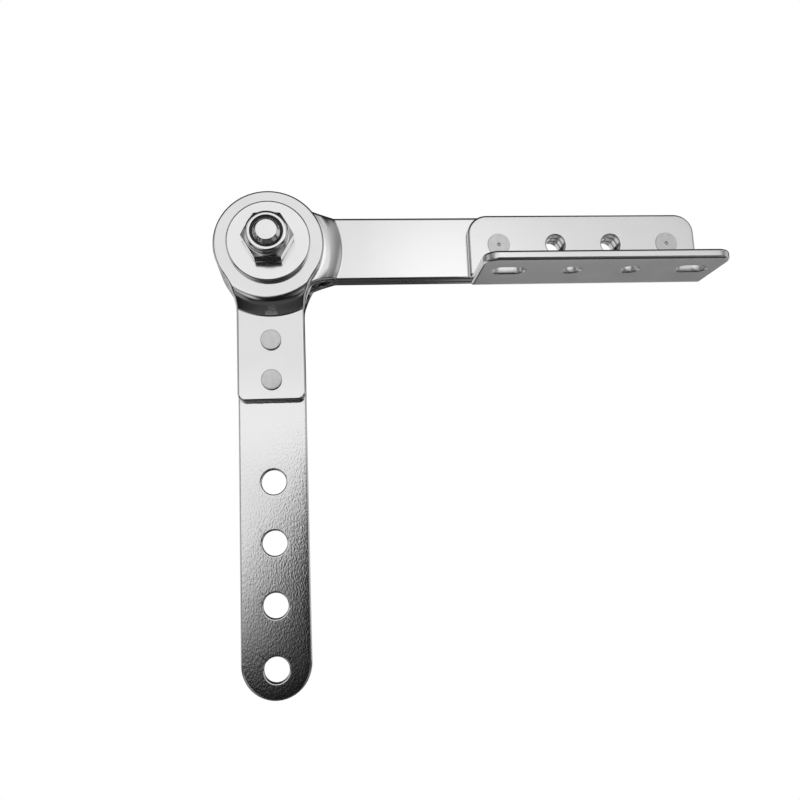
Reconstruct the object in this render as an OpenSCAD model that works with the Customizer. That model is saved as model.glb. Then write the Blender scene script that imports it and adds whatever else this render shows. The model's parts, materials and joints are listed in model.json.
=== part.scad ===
// Friction hinge for a sofa headrest, in millimetres, +Z up.
// A fixed strap screws to the sofa frame and an arm with an angle bracket carries the headrest.
// The origin is the centre of the strap's hole pattern, halfway through its thickness.
// The arm points along +X, the lock nut and the bracket's flange face the front, -Y.

/* [Strap] */
// Width of the strap and of the straight part of every leaf
strap_w = 25; // [22:0.5:30]
// Thickness of the strap
strap_t = 3.5; // [2.5:0.1:5]
// Pivot to the centre of the first mounting hole
first_hole = 88; // [76:0.5:120]
// Distance between the strap's mounting holes
hole_pitch = 22; // [14:0.5:32]
// Number of mounting holes in the strap
hole_count = 4; // [2:1:6]
// Diameter of the strap's mounting holes
hole_d = 9; // [5:0.1:12]
// Last mounting hole's centre to the strap's end
tail = 10.5; // [8:0.5:24]

/* [Hinge head] */
// Radius of the round head on every leaf
head_r = 20.5; // [19:0.1:26]
// Radius of the fillets between a head and its straight part
neck_r = 25; // [12:1:40]
// Radius inside the bends of the stepped leaves
bend_r = 1; // [0.5:0.1:2]
// Free gap on each side of an arm plate
slide_gap = 0.05; // [0.02:0.01:0.1]
// Radial clearance of the leaves on the bolt
pivot_clear = 0.08; // [0.02:0.01:0.1]

/* [Ears] */
// Thickness of each ear
ear_t = 3.5; // [2.5:0.1:4.5]
// Pivot to the ear's lower end
ear_len = 58.5; // [54:0.5:64]
// Radius of the ear's lower corners
ear_corner_r = 3; // [1:0.5:8]
// Slope of the ear's step, in degrees
ear_slope = 60; // [50:1:65]
// Clearance between the ear's step and the arm head that turns beside it
ear_step_clear = 1; // [0.6:0.05:1.4]
// Pivot to the upper ear rivet
ear_rivet_drop = 35.75; // [34:0.25:38]
// Distance between the ear rivets
ear_rivet_pitch = 15; // [11:0.5:16]

/* [Arm] */
// Thickness of each of the two arm plates
arm_t = 3.5; // [2.5:0.1:4.5]
// Slope of the arm's step, in degrees
arm_slope = 45; // [30:1:60]
// Clearance between the arm's step and the strap's head
arm_step_clear = 2.4; // [0.4:0.1:4]
// Distance from the arm's free end to the bracket's end
arm_setback = 1; // [0:0.5:4]
// Radius of the corners at the arm's free end
arm_corner_r = 2; // [1:0.5:5]

/* [Angle bracket] */
// Thickness of the bracket
bracket_t = 3.5; // [2.5:0.1:5]
// Pivot to the bracket's near end
bracket_start = 76; // [60:1:110]
// Length of the bracket
bracket_len = 90.5; // [85:0.5:140]
// Arm's centre line to the leg's top edge
leg_top = 12; // [9:0.5:20]
// Arm's centre line to the flange's underside
flange_drop = 16.2; // [14:0.1:24]
// Arm's front face to the flange's free edge
flange_reach = 32.7; // [28:0.1:50]
// Radius inside the bracket's bend
bracket_bend_r = 1.5; // [0.5:0.1:3]
// Radius of the leg's free corners
leg_corner_r = 7.5; // [2:0.5:8.5]
// Radius of the flange's free corners
flange_corner_r = 5.5; // [2:0.5:8]
// Distance between the two bolt holes, in the leg and in the flange
bracket_hole_pitch = 22; // [16:0.5:30]
// Diameter of the holes through the leg and the arm
leg_hole_d = 7.5; // [4:0.1:10]
// Diameter of the flange's holes
flange_hole_d = 7; // [4:0.1:10]
// Distance between the centres of the flange's slots
slot_pitch = 69; // [60:0.5:70]
// Length of a slot, end to end
slot_len = 12.2; // [9:0.1:15]
// Width of a slot
slot_w = 7; // [4:0.1:8]
// Arm's front face to the row of holes in the flange
flange_row = 20.3; // [16:0.1:23]
// Distance between the two arm rivets
arm_rivet_pitch = 67; // [56:0.5:72]

/* [Rivets] */
// Diameter of the rivet shanks
rivet_d = 5; // [3:0.1:6]
// Radial play of a rivet in its holes
rivet_play = 0.03; // [0.01:0.01:0.1]
// Diameter of the ear rivets' heads
ear_head_d = 7.6; // [6.5:0.1:9]
// Height of the ear rivets' heads
ear_head_h = 1.2; // [1:0.1:2]
// Diameter of the arm rivets' heads
arm_head_d = 8.7; // [7.5:0.1:10]
// Height of the arm rivets' heads at the back
arm_head_h = 1.4; // [1:0.1:2.5]
// How far the sunk arm rivets stand out of the leg
sunk_proud = 0.2; // [0.1:0.05:0.4]
// Width of the punch mark in a sunk rivet
punch_d = 1.5; // [0.8:0.1:2.5]
// Straight rim under the dome of a rivet head
head_rim = 0.8; // [0.4:0.1:0.9]

/* [Bolt, nut and washers] */
// Diameter of the pivot bolt
bolt_d = 10; // [8:0.5:11]
// Width across the flats of the nut and of the bolt's head
hex_af = 16.8; // [16.6:0.1:20]
// Height of the bolt's head
bolt_head_h = 6.4; // [5:0.1:8]
// Bolt's end above the lock nut
bolt_out = 1.4; // [0.5:0.1:5]
// Chamfer on the bolt's end
bolt_chamfer = 1.2; // [0.5:0.1:1.5]
// Height of the lock nut
nut_h = 9.5; // [9:0.1:12]
// Height of the nut's hexagon
nut_hex_h = 6.3; // [5:0.1:6.5]
// Diameter of the nut's round collar
collar_d = 15.8; // [15.4:0.1:16.5]
// Radius round the collar's upper edge
collar_round_r = 1.3; // [0.6:0.1:1.6]
// Opening inside the collar's turned lip
lip_d = 12; // [11.4:0.1:12.6]
// Thickness of the collar's turned lip
lip_t = 0.9; // [0.6:0.1:1.2]
// Outside diameter of the nylon ring
insert_d = 13.6; // [13:0.1:14]
// Diameter of both washers
washer_d = 31; // [24:0.5:36]
// Thickness of both washers
washer_t = 2.5; // [1.5:0.1:4]
// Play between the bolt and the nut, washers and nylon ring
thread_play = 0.03; // [0.01:0.01:0.1]
// Thickness of the friction discs
disc_t = 1.2; // [0.8:0.1:2]
// Rim of the heads left free around a friction disc
disc_rim = 2; // [1.5:0.1:6]

/* [Hidden] */
$fn = 96;

// How far cutters reach past the faces that they cut
eps = 0.5;
// How far a sunk seat's straight cut starts below the face that it opens
sink_seat = 0.001;
// Share of its width across flats at which a hexagon's corners are turned off
hex_turn = 0.96;
// Flats that make up a bend
bend_steps = 8;

// Stack of the leaves, measured outwards from the strap's middle
leaf_gap = disc_t + slide_gap;
strap_face = strap_t / 2;
arm_in = strap_face + leaf_gap;
arm_out = arm_in + arm_t;
ear_in = arm_out + leaf_gap;
ear_out = ear_in + ear_t;
washer_out = ear_out + washer_t;
nut_out = washer_out + nut_h;
bolt_end = nut_out + bolt_out;

// Heights above the origin and places along the leaves
pivot_z = first_hole + (hole_count - 1) * hole_pitch / 2;
strap_len = first_hole + (hole_count - 1) * hole_pitch + tail;
bracket_end = bracket_start + bracket_len;
bracket_mid = (bracket_start + bracket_end) / 2;
arm_len = bracket_end - arm_setback;
disc_r = head_r - disc_rim;
bore_r = bolt_d / 2 + pivot_clear;
leg_face = arm_t + bracket_t;

// Centre of a neck fillet, and the height of the point where it meets the head
neck_x = strap_w / 2 + neck_r;
neck_y = sqrt(pow(head_r + neck_r, 2) - pow(neck_x, 2));
neck_top = neck_y * head_r / (head_r + neck_r);
// How far a fillet's cutter crosses the head and the straight part that it runs into
neck_cross = 0.02;

// Radius at which a step starts, for a clearance to the head that turns inside it
function step_start(slope, clear) =
    head_r + (clear - leaf_gap * cos(slope) - bend_r * (1 - cos(slope))) / sin(slope);

// Carries a leaf's own frame to the hinge: its length runs down, its outside faces the front
module at_pivot() { translate([0, 0, pivot_z]) rotate([90, 0, 0]) children(); }

// Turns a leaf that points down so that it points along the arm
module along_arm() { rotate([0, 0, 90]) children(); }

// Puts a front piece behind the strap
module behind() { mirror([0, 1, 0]) children(); }

// Points along an arc, from one angle to another
function arc(centre, r, from, to) =
    [for (i = [0 : bend_steps]) let (a = from + (to - from) * i / bend_steps)
        centre + r * [cos(a), sin(a)]];

// Round head at the origin, and below it a straight part with round corners at its end
module leaf_outline(len, corner_r) {
    circle(r = head_r);
    difference() {
        translate([-neck_x, -neck_y]) square([2 * neck_x, neck_y - neck_top]);
        for (side = [-1, 1]) translate([side * neck_x, -neck_y]) circle(r = neck_r + neck_cross);
    }
    translate([-strap_w / 2, corner_r - len]) square([strap_w, len - corner_r]);
    for (side = [-1, 1]) translate([side * (strap_w / 2 - corner_r), corner_r - len]) circle(r = corner_r);
    if (corner_r < strap_w / 2)
        translate([corner_r - strap_w / 2, -len]) square([strap_w - 2 * corner_r, 2 * corner_r]);
}

// Section of a stepped plate: radius along X, height above the strap's middle along Y
module step_section(t, high, low, start, slope, len) {
    drop = (2 * bend_r + t) * (1 - cos(slope));
    run = (high - low - drop) / sin(slope);
    head_bend = [start, high - bend_r];
    foot_bend = [start + (2 * bend_r + t) * sin(slope) + run * cos(slope), low + t + bend_r];
    reach = len + strap_w / 2;
    polygon(concat(
        [[0, high], [0, high + t]],
        arc(head_bend, bend_r + t, 90, 90 - slope),
        arc(foot_bend, bend_r, 270 - slope, 270),
        [[reach, low + t], [reach, low]],
        arc(foot_bend, bend_r + t, 270, 270 - slope),
        arc(head_bend, bend_r, 90 - slope, 90)
    ));
}

// Leaf pressed in a step round its head, in its own frame, with its bores left to the caller
module stepped_leaf(t, high, low, clear, slope, len, corner_r) {
    intersection() {
        rotate_extrude() step_section(t, high, low, step_start(slope, clear), slope, len);
        translate([0, 0, low - eps]) linear_extrude(high - low + t + 2 * eps)
            leaf_outline(len, corner_r);
    }
}

// Round hole right through every leaf at one place
module drill(d, x = 0, y = 0) {
    translate([x, y, -ear_out - eps]) cylinder(d = d, h = 2 * (ear_out + eps));
}

module ear_rivet_holes() {
    for (i = [0, 1]) drill(rivet_d + 2 * rivet_play, 0, -ear_rivet_drop - i * ear_rivet_pitch);
}

module arm_holes() {
    for (side = [-1, 1]) {
        drill(rivet_d + 2 * rivet_play, 0, -bracket_mid - side * arm_rivet_pitch / 2);
        drill(leg_hole_d, 0, -bracket_mid - side * bracket_hole_pitch / 2);
    }
}

module strap() {
    color("silver") at_pivot() difference() {
        translate([0, 0, -strap_face]) linear_extrude(strap_t) leaf_outline(strap_len, strap_w / 2);
        drill(2 * bore_r);
        ear_rivet_holes();
        for (i = [0 : hole_count - 1]) drill(hole_d, 0, -first_hole - i * hole_pitch);
    }
}

module ear() {
    color("gainsboro") at_pivot() difference() {
        stepped_leaf(ear_t, ear_in, strap_face, ear_step_clear, ear_slope, ear_len, ear_corner_r);
        drill(2 * bore_r);
        ear_rivet_holes();
    }
}

module arm_plate() {
    color("lightgray") at_pivot() along_arm() difference() {
        stepped_leaf(arm_t, arm_in, 0, arm_step_clear, arm_slope, arm_len, arm_corner_r);
        drill(2 * bore_r);
        arm_holes();
    }
}

// What is cut off a square corner to round it, with the corner at the origin
module corner_waste(r) {
    difference() {
        translate([-eps, -eps]) square(r + eps);
        translate([r, r]) circle(r = r);
    }
}

module slot_outline() {
    square([slot_len - slot_w, slot_w], center = true);
    for (side = [-1, 1]) translate([side * (slot_len - slot_w) / 2, 0]) circle(d = slot_w);
}

// Section of the bracket across its length: the leg stands behind, the flange reaches forwards
module bracket_section() {
    leg_h = leg_top + flange_drop;
    bend = (bracket_bend_r + bracket_t) * [1, 1];
    polygon(concat(
        [[0, leg_h]],
        arc(bend, bracket_bend_r + bracket_t, 180, 270),
        [[flange_reach, 0], [flange_reach, bracket_t]],
        arc(bend, bracket_bend_r, 270, 180),
        [[bracket_t, leg_h]]
    ));
}

module bracket_blank() {
    translate([bracket_start, -arm_t, -flange_drop])
        rotate([90, 0, 90]) linear_extrude(bracket_len) mirror([1, 0]) bracket_section();
}

module angle_bracket() {
    cut = bracket_t + 2 * eps;
    color("silver") translate([0, 0, pivot_z]) difference() {
        bracket_blank();
        for (side = [-1, 1]) translate([bracket_mid, 0, 0]) {
            // Free corners of the leg and of the flange
            translate([side * bracket_len / 2, -arm_t + eps, leg_top]) rotate([90, 0, 0])
                linear_extrude(cut) mirror([max(side, 0), 0]) mirror([0, 1])
                    corner_waste(leg_corner_r);
            translate([side * bracket_len / 2, -arm_t - flange_reach, -flange_drop - eps])
                linear_extrude(cut) mirror([max(side, 0), 0]) corner_waste(flange_corner_r);
            // Holes and sunk rivet seats in the leg
            translate([side * bracket_hole_pitch / 2, 0, 0]) leg_drill(leg_hole_d);
            translate([side * arm_rivet_pitch / 2, 0, 0]) {
                leg_drill(rivet_d + 2 * rivet_play);
                rotate([90, 0, 0]) translate([0, 0, leg_face]) rivet_sink(rivet_play);
            }
            // Holes and slots in the flange
            translate([0, -arm_t - flange_row, -flange_drop - eps]) {
                translate([side * bracket_hole_pitch / 2, 0, 0]) cylinder(d = flange_hole_d, h = cut);
                translate([side * slot_pitch / 2, 0, 0]) linear_extrude(cut) slot_outline();
            }
        }
    }
}

// Hole through the bracket's leg, seen from the front
module leg_drill(d) {
    rotate([90, 0, 0]) translate([0, 0, arm_t - eps]) cylinder(d = d, h = bracket_t + 2 * eps);
}

// Cone under a sunk head whose face lies at the origin, with play all round
module rivet_sink(play) {
    sink = (arm_head_d - rivet_d) / 2;
    translate([0, 0, -sink]) cylinder(d1 = rivet_d + 2 * play, d2 = arm_head_d + 2 * play, h = sink);
    translate([0, 0, -sink_seat]) cylinder(d = arm_head_d + 2 * play, h = eps);
}

// Low domed rivet head that stands on the origin
module rivet_head(d, h) {
    dome = h - head_rim;
    dome_r = (d * d / 4 + dome * dome) / (2 * dome);
    intersection() {
        cylinder(d = d, h = h);
        translate([0, 0, h - dome_r]) sphere(r = dome_r);
    }
}

// Rivet through both ears and the strap, closed by a head at each end
module ear_rivet(drop) {
    reach = strap_face + ear_t;
    color("darkgray") at_pivot() translate([0, -drop, 0]) {
        cylinder(d = rivet_d, h = 2 * reach, center = true);
        for (side = [0, 1]) mirror([0, 0, side]) translate([0, 0, reach])
            rivet_head(ear_head_d, ear_head_h);
    }
}

// Rivet through the bracket's leg and both arm plates, sunk in front and domed behind
module arm_rivet(x) {
    sink = (arm_head_d - rivet_d) / 2;
    color("darkgray") at_pivot() translate([x, 0, 0]) difference() {
        union() {
            translate([0, 0, -arm_t]) cylinder(d = rivet_d, h = leg_face + arm_t - sink);
            translate([0, 0, leg_face - sink]) cylinder(d1 = rivet_d, d2 = arm_head_d, h = sink);
            translate([0, 0, leg_face]) cylinder(d = arm_head_d, h = sunk_proud);
            translate([0, 0, -arm_t]) mirror([0, 0, 1]) rivet_head(arm_head_d, arm_head_h);
        }
        translate([0, 0, leg_face + sunk_proud - punch_d / 2])
            cylinder(d1 = 0, d2 = 2 * punch_d, h = punch_d);
    }
}

// Fibre disc whose inner face lies at a height above the strap's middle
module friction_disc(height) {
    color("dimgray") at_pivot() translate([0, 0, height]) difference() {
        cylinder(r = disc_r, h = disc_t);
        translate([0, 0, -eps]) cylinder(r = bore_r, h = disc_t + 2 * eps);
    }
}

module washer() {
    color("gainsboro") at_pivot() translate([0, 0, ear_out]) difference() {
        cylinder(d = washer_d, h = washer_t);
        translate([0, 0, -eps]) cylinder(r = bolt_d / 2 + thread_play, h = washer_t + 2 * eps);
    }
}

// Hexagon prism that stands on the origin, its corners turned off at the chosen ends
module hex_body(h, turn_foot) {
    tip_r = hex_af / 2 / cos(30);
    flat_r = hex_turn * hex_af / 2;
    fall = (tip_r - flat_r) * tan(30);
    foot = turn_foot ? flat_r : tip_r + eps;
    rise = turn_foot ? fall : 0;
    intersection() {
        cylinder(r = tip_r, h = h, $fn = 6);
        rotate_extrude() polygon([
            [0, 0], [foot, 0], [tip_r + (turn_foot ? 0 : eps), rise],
            [tip_r, h - fall], [flat_r, h], [0, h]
        ]);
    }
}

module pivot_bolt() {
    shank_r = bolt_d / 2;
    back = washer_out;
    color("silver") at_pivot() {
        rotate_extrude() polygon([
            [0, -back], [shank_r, -back], [shank_r, bolt_end - bolt_chamfer],
            [shank_r - bolt_chamfer, bolt_end], [0, bolt_end]
        ]);
        translate([0, 0, -back]) mirror([0, 0, 1]) hex_body(bolt_head_h, false);
    }
}

// Lock nut: hexagon below, and a round collar whose lip is turned in over the nylon ring
module lock_nut() {
    collar_r = collar_d / 2;
    hole_r = bolt_d / 2 + thread_play;
    color("silver") at_pivot() translate([0, 0, washer_out]) difference() {
        union() {
            hex_body(nut_hex_h, true);
            rotate_extrude() {
                square([collar_r, nut_h - collar_round_r]);
                square([collar_r - collar_round_r, nut_h]);
                translate([collar_r - collar_round_r, nut_h - collar_round_r]) circle(r = collar_round_r);
            }
        }
        translate([0, 0, -eps]) cylinder(r = hole_r, h = nut_h + 2 * eps);
        translate([0, 0, nut_hex_h]) cylinder(d = insert_d, h = nut_h - lip_t - nut_hex_h);
        translate([0, 0, nut_hex_h]) cylinder(d = lip_d, h = nut_h);
    }
}

module lock_ring() {
    color("darkslategray") at_pivot() translate([0, 0, washer_out + nut_hex_h]) difference() {
        cylinder(d = insert_d - 2 * thread_play, h = nut_h - lip_t - nut_hex_h);
        translate([0, 0, -eps]) cylinder(r = bolt_d / 2 + thread_play, h = nut_h);
    }
}

strap();
ear();  // front_ear
behind() ear();  // back_ear
ear_rivet(ear_rivet_drop);  // ear_rivet_upper
ear_rivet(ear_rivet_drop + ear_rivet_pitch);  // ear_rivet_lower
arm_plate();  // front_arm
behind() arm_plate();  // back_arm
angle_bracket();
arm_rivet(bracket_mid - arm_rivet_pitch / 2);  // arm_rivet_inner
arm_rivet(bracket_mid + arm_rivet_pitch / 2);  // arm_rivet_outer
friction_disc(arm_out + slide_gap);  // friction_disc_front_outer
friction_disc(strap_face);  // friction_disc_front_inner
behind() friction_disc(strap_face);  // friction_disc_back_inner
behind() friction_disc(arm_out + slide_gap);  // friction_disc_back_outer
pivot_bolt();
behind() washer();  // bolt_washer
washer();  // nut_washer
lock_nut();
lock_ring();
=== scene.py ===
"""Dresses the solids of a sofa headrest hinge in rolled edges and plated finishes.

Everything is in metres in the hinge's own frame: +Z up the strap to the pivot, +X along the arm,
and the front, which the lock nut and the bracket's flange face, is -Y.
"""

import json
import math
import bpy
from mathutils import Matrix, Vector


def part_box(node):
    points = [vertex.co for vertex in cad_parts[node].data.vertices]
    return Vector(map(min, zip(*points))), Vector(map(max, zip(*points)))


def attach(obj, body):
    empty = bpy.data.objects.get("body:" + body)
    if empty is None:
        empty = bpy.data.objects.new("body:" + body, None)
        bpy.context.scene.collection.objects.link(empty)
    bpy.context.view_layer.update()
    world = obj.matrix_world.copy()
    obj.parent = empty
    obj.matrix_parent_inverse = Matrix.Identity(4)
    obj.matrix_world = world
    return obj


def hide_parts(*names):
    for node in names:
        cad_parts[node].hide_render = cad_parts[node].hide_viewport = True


bl_info = {
    "name": "Sofa Headrest Hinge",
    "version": (1, 0, 0),
    "blender": (4, 5, 0),
    "location": "View3D > Sidebar > Hinge",
    "description": "Makes the plated surfaces of a headrest hinge round its solids",
    "category": "Add Mesh",
}

import bmesh
import bpy
import numpy as np

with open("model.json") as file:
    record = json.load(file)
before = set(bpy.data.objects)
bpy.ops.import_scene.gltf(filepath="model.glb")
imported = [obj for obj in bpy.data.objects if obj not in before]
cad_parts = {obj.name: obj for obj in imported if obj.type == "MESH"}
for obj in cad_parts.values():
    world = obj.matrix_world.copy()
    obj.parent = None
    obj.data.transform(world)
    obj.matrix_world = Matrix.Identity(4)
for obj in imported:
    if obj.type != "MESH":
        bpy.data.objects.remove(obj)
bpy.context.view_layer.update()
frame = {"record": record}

SUPPORT, ARM = "support", "headrest_arm"

WHITE = (1.0, 1.0, 1.0, 1.0)
# Width of the camera's sensor in millimetres
SENSOR = 36
# Points closer than this are one point
WELD = 1e-6
# Keeps a quotient finite
TINY = 1e-12
# Two faces that turn more than this against each other keep a sharp edge
CREASE = math.radians(28)
# Creases of the nut that turn more than this are rounded
ROUNDED_CREASE = math.radians(22)
# Points round a full turn of a washer, a disc or a rivet
ROUND_STEPS = 128
# Points round the open side of a leaf's head
HEAD_STEPS = 120
# Rows of points from a leaf's head down its neck, close enough for the small bends
NECK_ROWS = 56
# Steps round a quarter of a rolled edge
EDGE_STEPS = 8
# Steps round a quarter of a plate's corner, and over the flat between two corners
CORNER_STEPS = 12
# Steps over the bracket's leg or its flange, and round its bend
FLAT_STEPS, BEND_STEPS = 6, 16
# Steps round the shoulder of a rivet's head, and over its dome
SHOULDER_STEPS, DOME_STEPS = 6, 8
# Steps along one side of a hexagon
SIDE_STEPS = 24
# Rows along the thread that shows
THREAD_STEPS = 16
# Steps along the side of a hole's cell
CELL_STEPS = 12
# Rows between a hole and the straight lines of its cell
CELL_ROWS = 3
# Width of the narrow row or column that parts a hole's cell from a long block or a bend
GUARD = 0.0003
# First row past a pressed step, from the pivot
PAST_STEP = 0.032


def corners(node):
    """Lowest and highest corner of a solid at rest."""
    low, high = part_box(node)
    return np.array(low), np.array(high)


def middle_of(node):
    """Middle of a solid that lies on both sides of the strap's plane."""
    low, high = corners(node)
    return (low + high) / 2 * [1, 0, 1]


def mount(name):
    """Place of a mount, and its measures in metres."""
    found = next(m for m in frame["record"]["mounts"] if m["name"] == name)
    return np.array(found["pos_m"]), {k: v * 0.001 for k, v in found["dims"].items()}


def hole_pair(name):
    """Where a mount's two holes lie along the arm, then the mount's own place and measures."""
    centre, row = mount(name)
    return [centre[0] + side * row["spacing_x_mm"] / 2 for side in (-1, 1)], centre, row


STRAP_LOW, STRAP_HIGH = corners("strap")
EAR_LOW, EAR_HIGH = corners("front_ear")
ARM_LOW, ARM_HIGH = corners("front_arm")
BRACKET_LOW, BRACKET_HIGH = corners("angle_bracket")
DISC_LOW, DISC_HIGH = corners("friction_disc_front_inner")
WASHER_LOW, _ = corners("nut_washer")
NUT_LOW, NUT_HIGH = corners("lock_nut")
BOLT_LOW, BOLT_HIGH = corners("pivot_bolt")

HEAD_R = STRAP_HIGH[0]
PLATE = STRAP_HIGH[1] - STRAP_LOW[1]
PIVOT = np.array([0, 0, STRAP_HIGH[2] - HEAD_R])


def length_prop(name, description, default, **more):
    """A length that a user can change."""
    return bpy.props.FloatProperty(
        name=name, description=description, default=default, unit="LENGTH", subtype="DISTANCE", **more)


def colour_prop(name, description, default):
    """A colour that a user can change."""
    return bpy.props.FloatVectorProperty(
        name=name, description=description, size=3, default=default, min=0, max=1, subtype="COLOR")


class LeafSizes(bpy.types.PropertyGroup):
    """Sizes of the strap, the ears and the arm plates."""

    strip_width: length_prop("Strip Width", "Width of every leaf's straight part", 0.025)
    neck_radius: length_prop("Neck Radius", "Fillet between a head and its straight part", 0.025)
    bend_radius: length_prop("Bend Radius", "Radius inside a tight pressed bend", 0.001)
    slide_gap: length_prop("Slide Gap", "Free gap on each side of an arm plate", 0.00005)
    bore_radius: length_prop("Bore Radius", "Radius of the leaves' bores", 0.00508)
    ear_slope: bpy.props.FloatProperty(
        name="Ear Slope", description="Slope of the ear's step",
        default=math.radians(55), subtype="ANGLE")
    ear_foot: length_prop("Ear Foot", "Distance from the pivot to the foot of the ear's step", 0.027)
    ear_corner: length_prop("Ear Corner", "Radius of the ear's lower corners", 0.003)
    arm_slope: bpy.props.FloatProperty(
        name="Arm Slope", description="Slope of the arm plate's step",
        default=math.radians(38), subtype="ANGLE")
    arm_foot: length_prop("Arm Foot", "Distance from the pivot to the foot of the arm's step", 0.0278)
    arm_bend: length_prop("Arm Bend", "Radius inside the wide bend from the arm's head", 0.008)
    arm_corner: length_prop("Arm Corner", "Radius of the arm's end corners", 0.002)
    rolled_edge: length_prop("Rolled Edge", "Depth that stamping and tumbling leave on an edge", 0.0009)
    hole_edge: length_prop("Hole Edge", "Radius that tumbling leaves on a hole's edge", 0.0006)
    strap_spread: length_prop("Strap Spread", "Width of the rolled edge round the strap", 0.0008)
    ear_spread: length_prop("Ear Spread", "Width of the rolled edge round an ear", 0.0009)
    arm_spread: length_prop("Arm Spread", "Width of the rolled edge round an arm plate", 0.0011)


class BracketSizes(bpy.types.PropertyGroup):
    """Sizes of the angle bracket."""

    bend_radius: length_prop("Bend Radius", "Radius inside the bracket's bend", 0.0015)
    leg_corner: length_prop("Leg Corner", "Radius of the leg's free corners", 0.0075)
    flange_corner: length_prop("Flange Corner", "Radius of the flange's free corners", 0.0055)
    rolled_edge: length_prop("Rolled Edge", "Depth that stamping and tumbling leave on an edge", 0.001)
    edge_spread: length_prop("Edge Spread", "Width of the rolled edge round the bracket", 0.001)


class FastenerSizes(bpy.types.PropertyGroup):
    """Sizes of the bolt, the nut, the washers, the discs and the rivets."""

    bolt_radius: length_prop("Bolt Radius", "Radius of the pivot bolt", 0.005)
    play: length_prop("Play", "Radial play round the bolt and the rivets", 0.00003)
    thread_pitch: length_prop("Thread Pitch", "Pitch of the bolt's thread", 0.0015)
    thread_depth: length_prop("Thread Depth", "Depth of the bolt's thread", 0.0009)
    bolt_chamfer: length_prop("Bolt Chamfer", "Chamfer on the bolt's end", 0.0012)
    bolt_edge: length_prop("Bolt Edge", "Radius between the bolt's chamfer and its end", 0.0005)
    hex_turn: bpy.props.FloatProperty(
        name="Hexagon Turn", description="Share of a hexagon's flats at which its corners are turned off",
        default=0.96, min=0.8, max=1.0, subtype="FACTOR")
    nut_hex_height: length_prop("Nut Hexagon Height", "Height of the nut's hexagon", 0.0063)
    collar_radius: length_prop("Collar Radius", "Radius of the nut's round collar", 0.0079)
    collar_round: length_prop("Collar Round", "Radius round the collar's upper edge", 0.0013)
    lip_radius: length_prop("Lip Radius", "Radius of the opening in the collar's turned lip", 0.006)
    lip_thickness: length_prop("Lip Thickness", "Thickness of the collar's turned lip", 0.0009)
    insert_radius: length_prop("Insert Radius", "Outer radius of the nylon ring's groove", 0.0068)
    washer_edge: length_prop("Washer Edge", "Radius of the washers' stamped edge", 0.0007)
    rivet_radius: length_prop("Rivet Radius", "Radius of the rivets' shanks", 0.0025)
    head_shoulder: length_prop("Head Shoulder", "Radius round the shoulder of a rivet head", 0.00025)
    sunk_proud: length_prop("Sunk Proud", "How far the sunk rivets stand out of the leg", 0.0002)
    punch_radius: length_prop("Punch Radius", "Radius of the punch mark in a sunk rivet", 0.00075)


class FinishSettings(bpy.types.PropertyGroup):
    """Colours and surface detail of the plated, dull and dark finishes."""

    nickel: colour_prop("Nickel", "Colour of the plated leaves and the bracket", (0.74, 0.74, 0.745))
    fastener: colour_prop("Fastener", "Colour of the plated washers, nut and bolt", (0.8, 0.8, 0.81))
    rivet: colour_prop("Rivet", "Colour of the dull rivet heads", (0.68, 0.68, 0.685))
    fibre: colour_prop("Fibre", "Colour of the friction discs", (0.03, 0.028, 0.026))
    nylon: colour_prop("Nylon", "Colour of the lock nut's ring", (0.02, 0.02, 0.022))
    peel_size: length_prop("Peel Size", "Width of the plating's soft dimples", 0.00065)
    peel_depth: length_prop("Peel Depth", "Depth of the plating's soft dimples", 0.000028, precision=7)
    brush_depth: length_prop(
        "Brush Depth", "Depth of the rolled metal's fine lines", 0.0000006, precision=8)


class StageSettings(bpy.types.PropertyGroup):
    """The camera, the light tent and the floor."""

    camera_place: bpy.props.FloatVectorProperty(
        name="Camera Place", description="Where the camera stands",
        size=3, default=(0.0180967, -0.3053389, 0.0111236), unit="LENGTH", subtype="XYZ")
    camera_turn: bpy.props.FloatVectorProperty(
        name="Camera Turn", description="How the camera is turned about X, Y and Z",
        size=3, default=tuple(math.radians(a) for a in (99.4928, 2.3681, -5.1288)), subtype="EULER")
    lens: bpy.props.FloatProperty(
        name="Lens", description="Focal length on a 36 mm sensor, in millimetres", default=37.0255)
    tent_centre: bpy.props.FloatVectorProperty(
        name="Tent Centre", description="Middle of the light tent that the metal mirrors",
        size=3, default=(0.06, 0, 0.08), unit="LENGTH", subtype="XYZ")
    tent_radius: length_prop("Tent Radius", "Radius of the light tent", 2.0)
    cove_level: bpy.props.FloatProperty(
        name="Cove Level", description="Strength of the tent above the hinge", default=1.45)
    dark_level: bpy.props.FloatProperty(
        name="Dark Level", description="Strength of the tent before and below the hinge", default=0.01)
    floor_drop: length_prop("Floor Drop", "Floor below the strap's end", 0.45)
    world_light: bpy.props.FloatProperty(
        name="World Light", description="Strength of the plain light all round", default=0.7)


GROUPS = {
    "hinge_leaves": LeafSizes,
    "hinge_bracket": BracketSizes,
    "hinge_fasteners": FastenerSizes,
    "hinge_finish": FinishSettings,
    "hinge_stage": StageSettings,
}


def settings(group):
    """The scene's values of one property group."""
    return getattr(bpy.context.scene, group)


class Wire:
    """An output socket on which + - * / work, each by one Math node."""

    def __init__(self, graph, socket):
        self.graph = graph
        self.socket = socket

    def _math(self, operation, first, second):
        return self.graph.node("ShaderNodeMath", {"operation": operation}, {0: first, 1: second})

    def __add__(self, other):
        return self._math("ADD", self, other)

    def __radd__(self, other):
        return self._math("ADD", other, self)

    def __sub__(self, other):
        return self._math("SUBTRACT", self, other)

    def __rsub__(self, other):
        return self._math("SUBTRACT", other, self)

    def __mul__(self, other):
        return self._math("MULTIPLY", self, other)

    def __rmul__(self, other):
        return self._math("MULTIPLY", other, self)

    def __truediv__(self, other):
        return self._math("DIVIDE", self, other)


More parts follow.
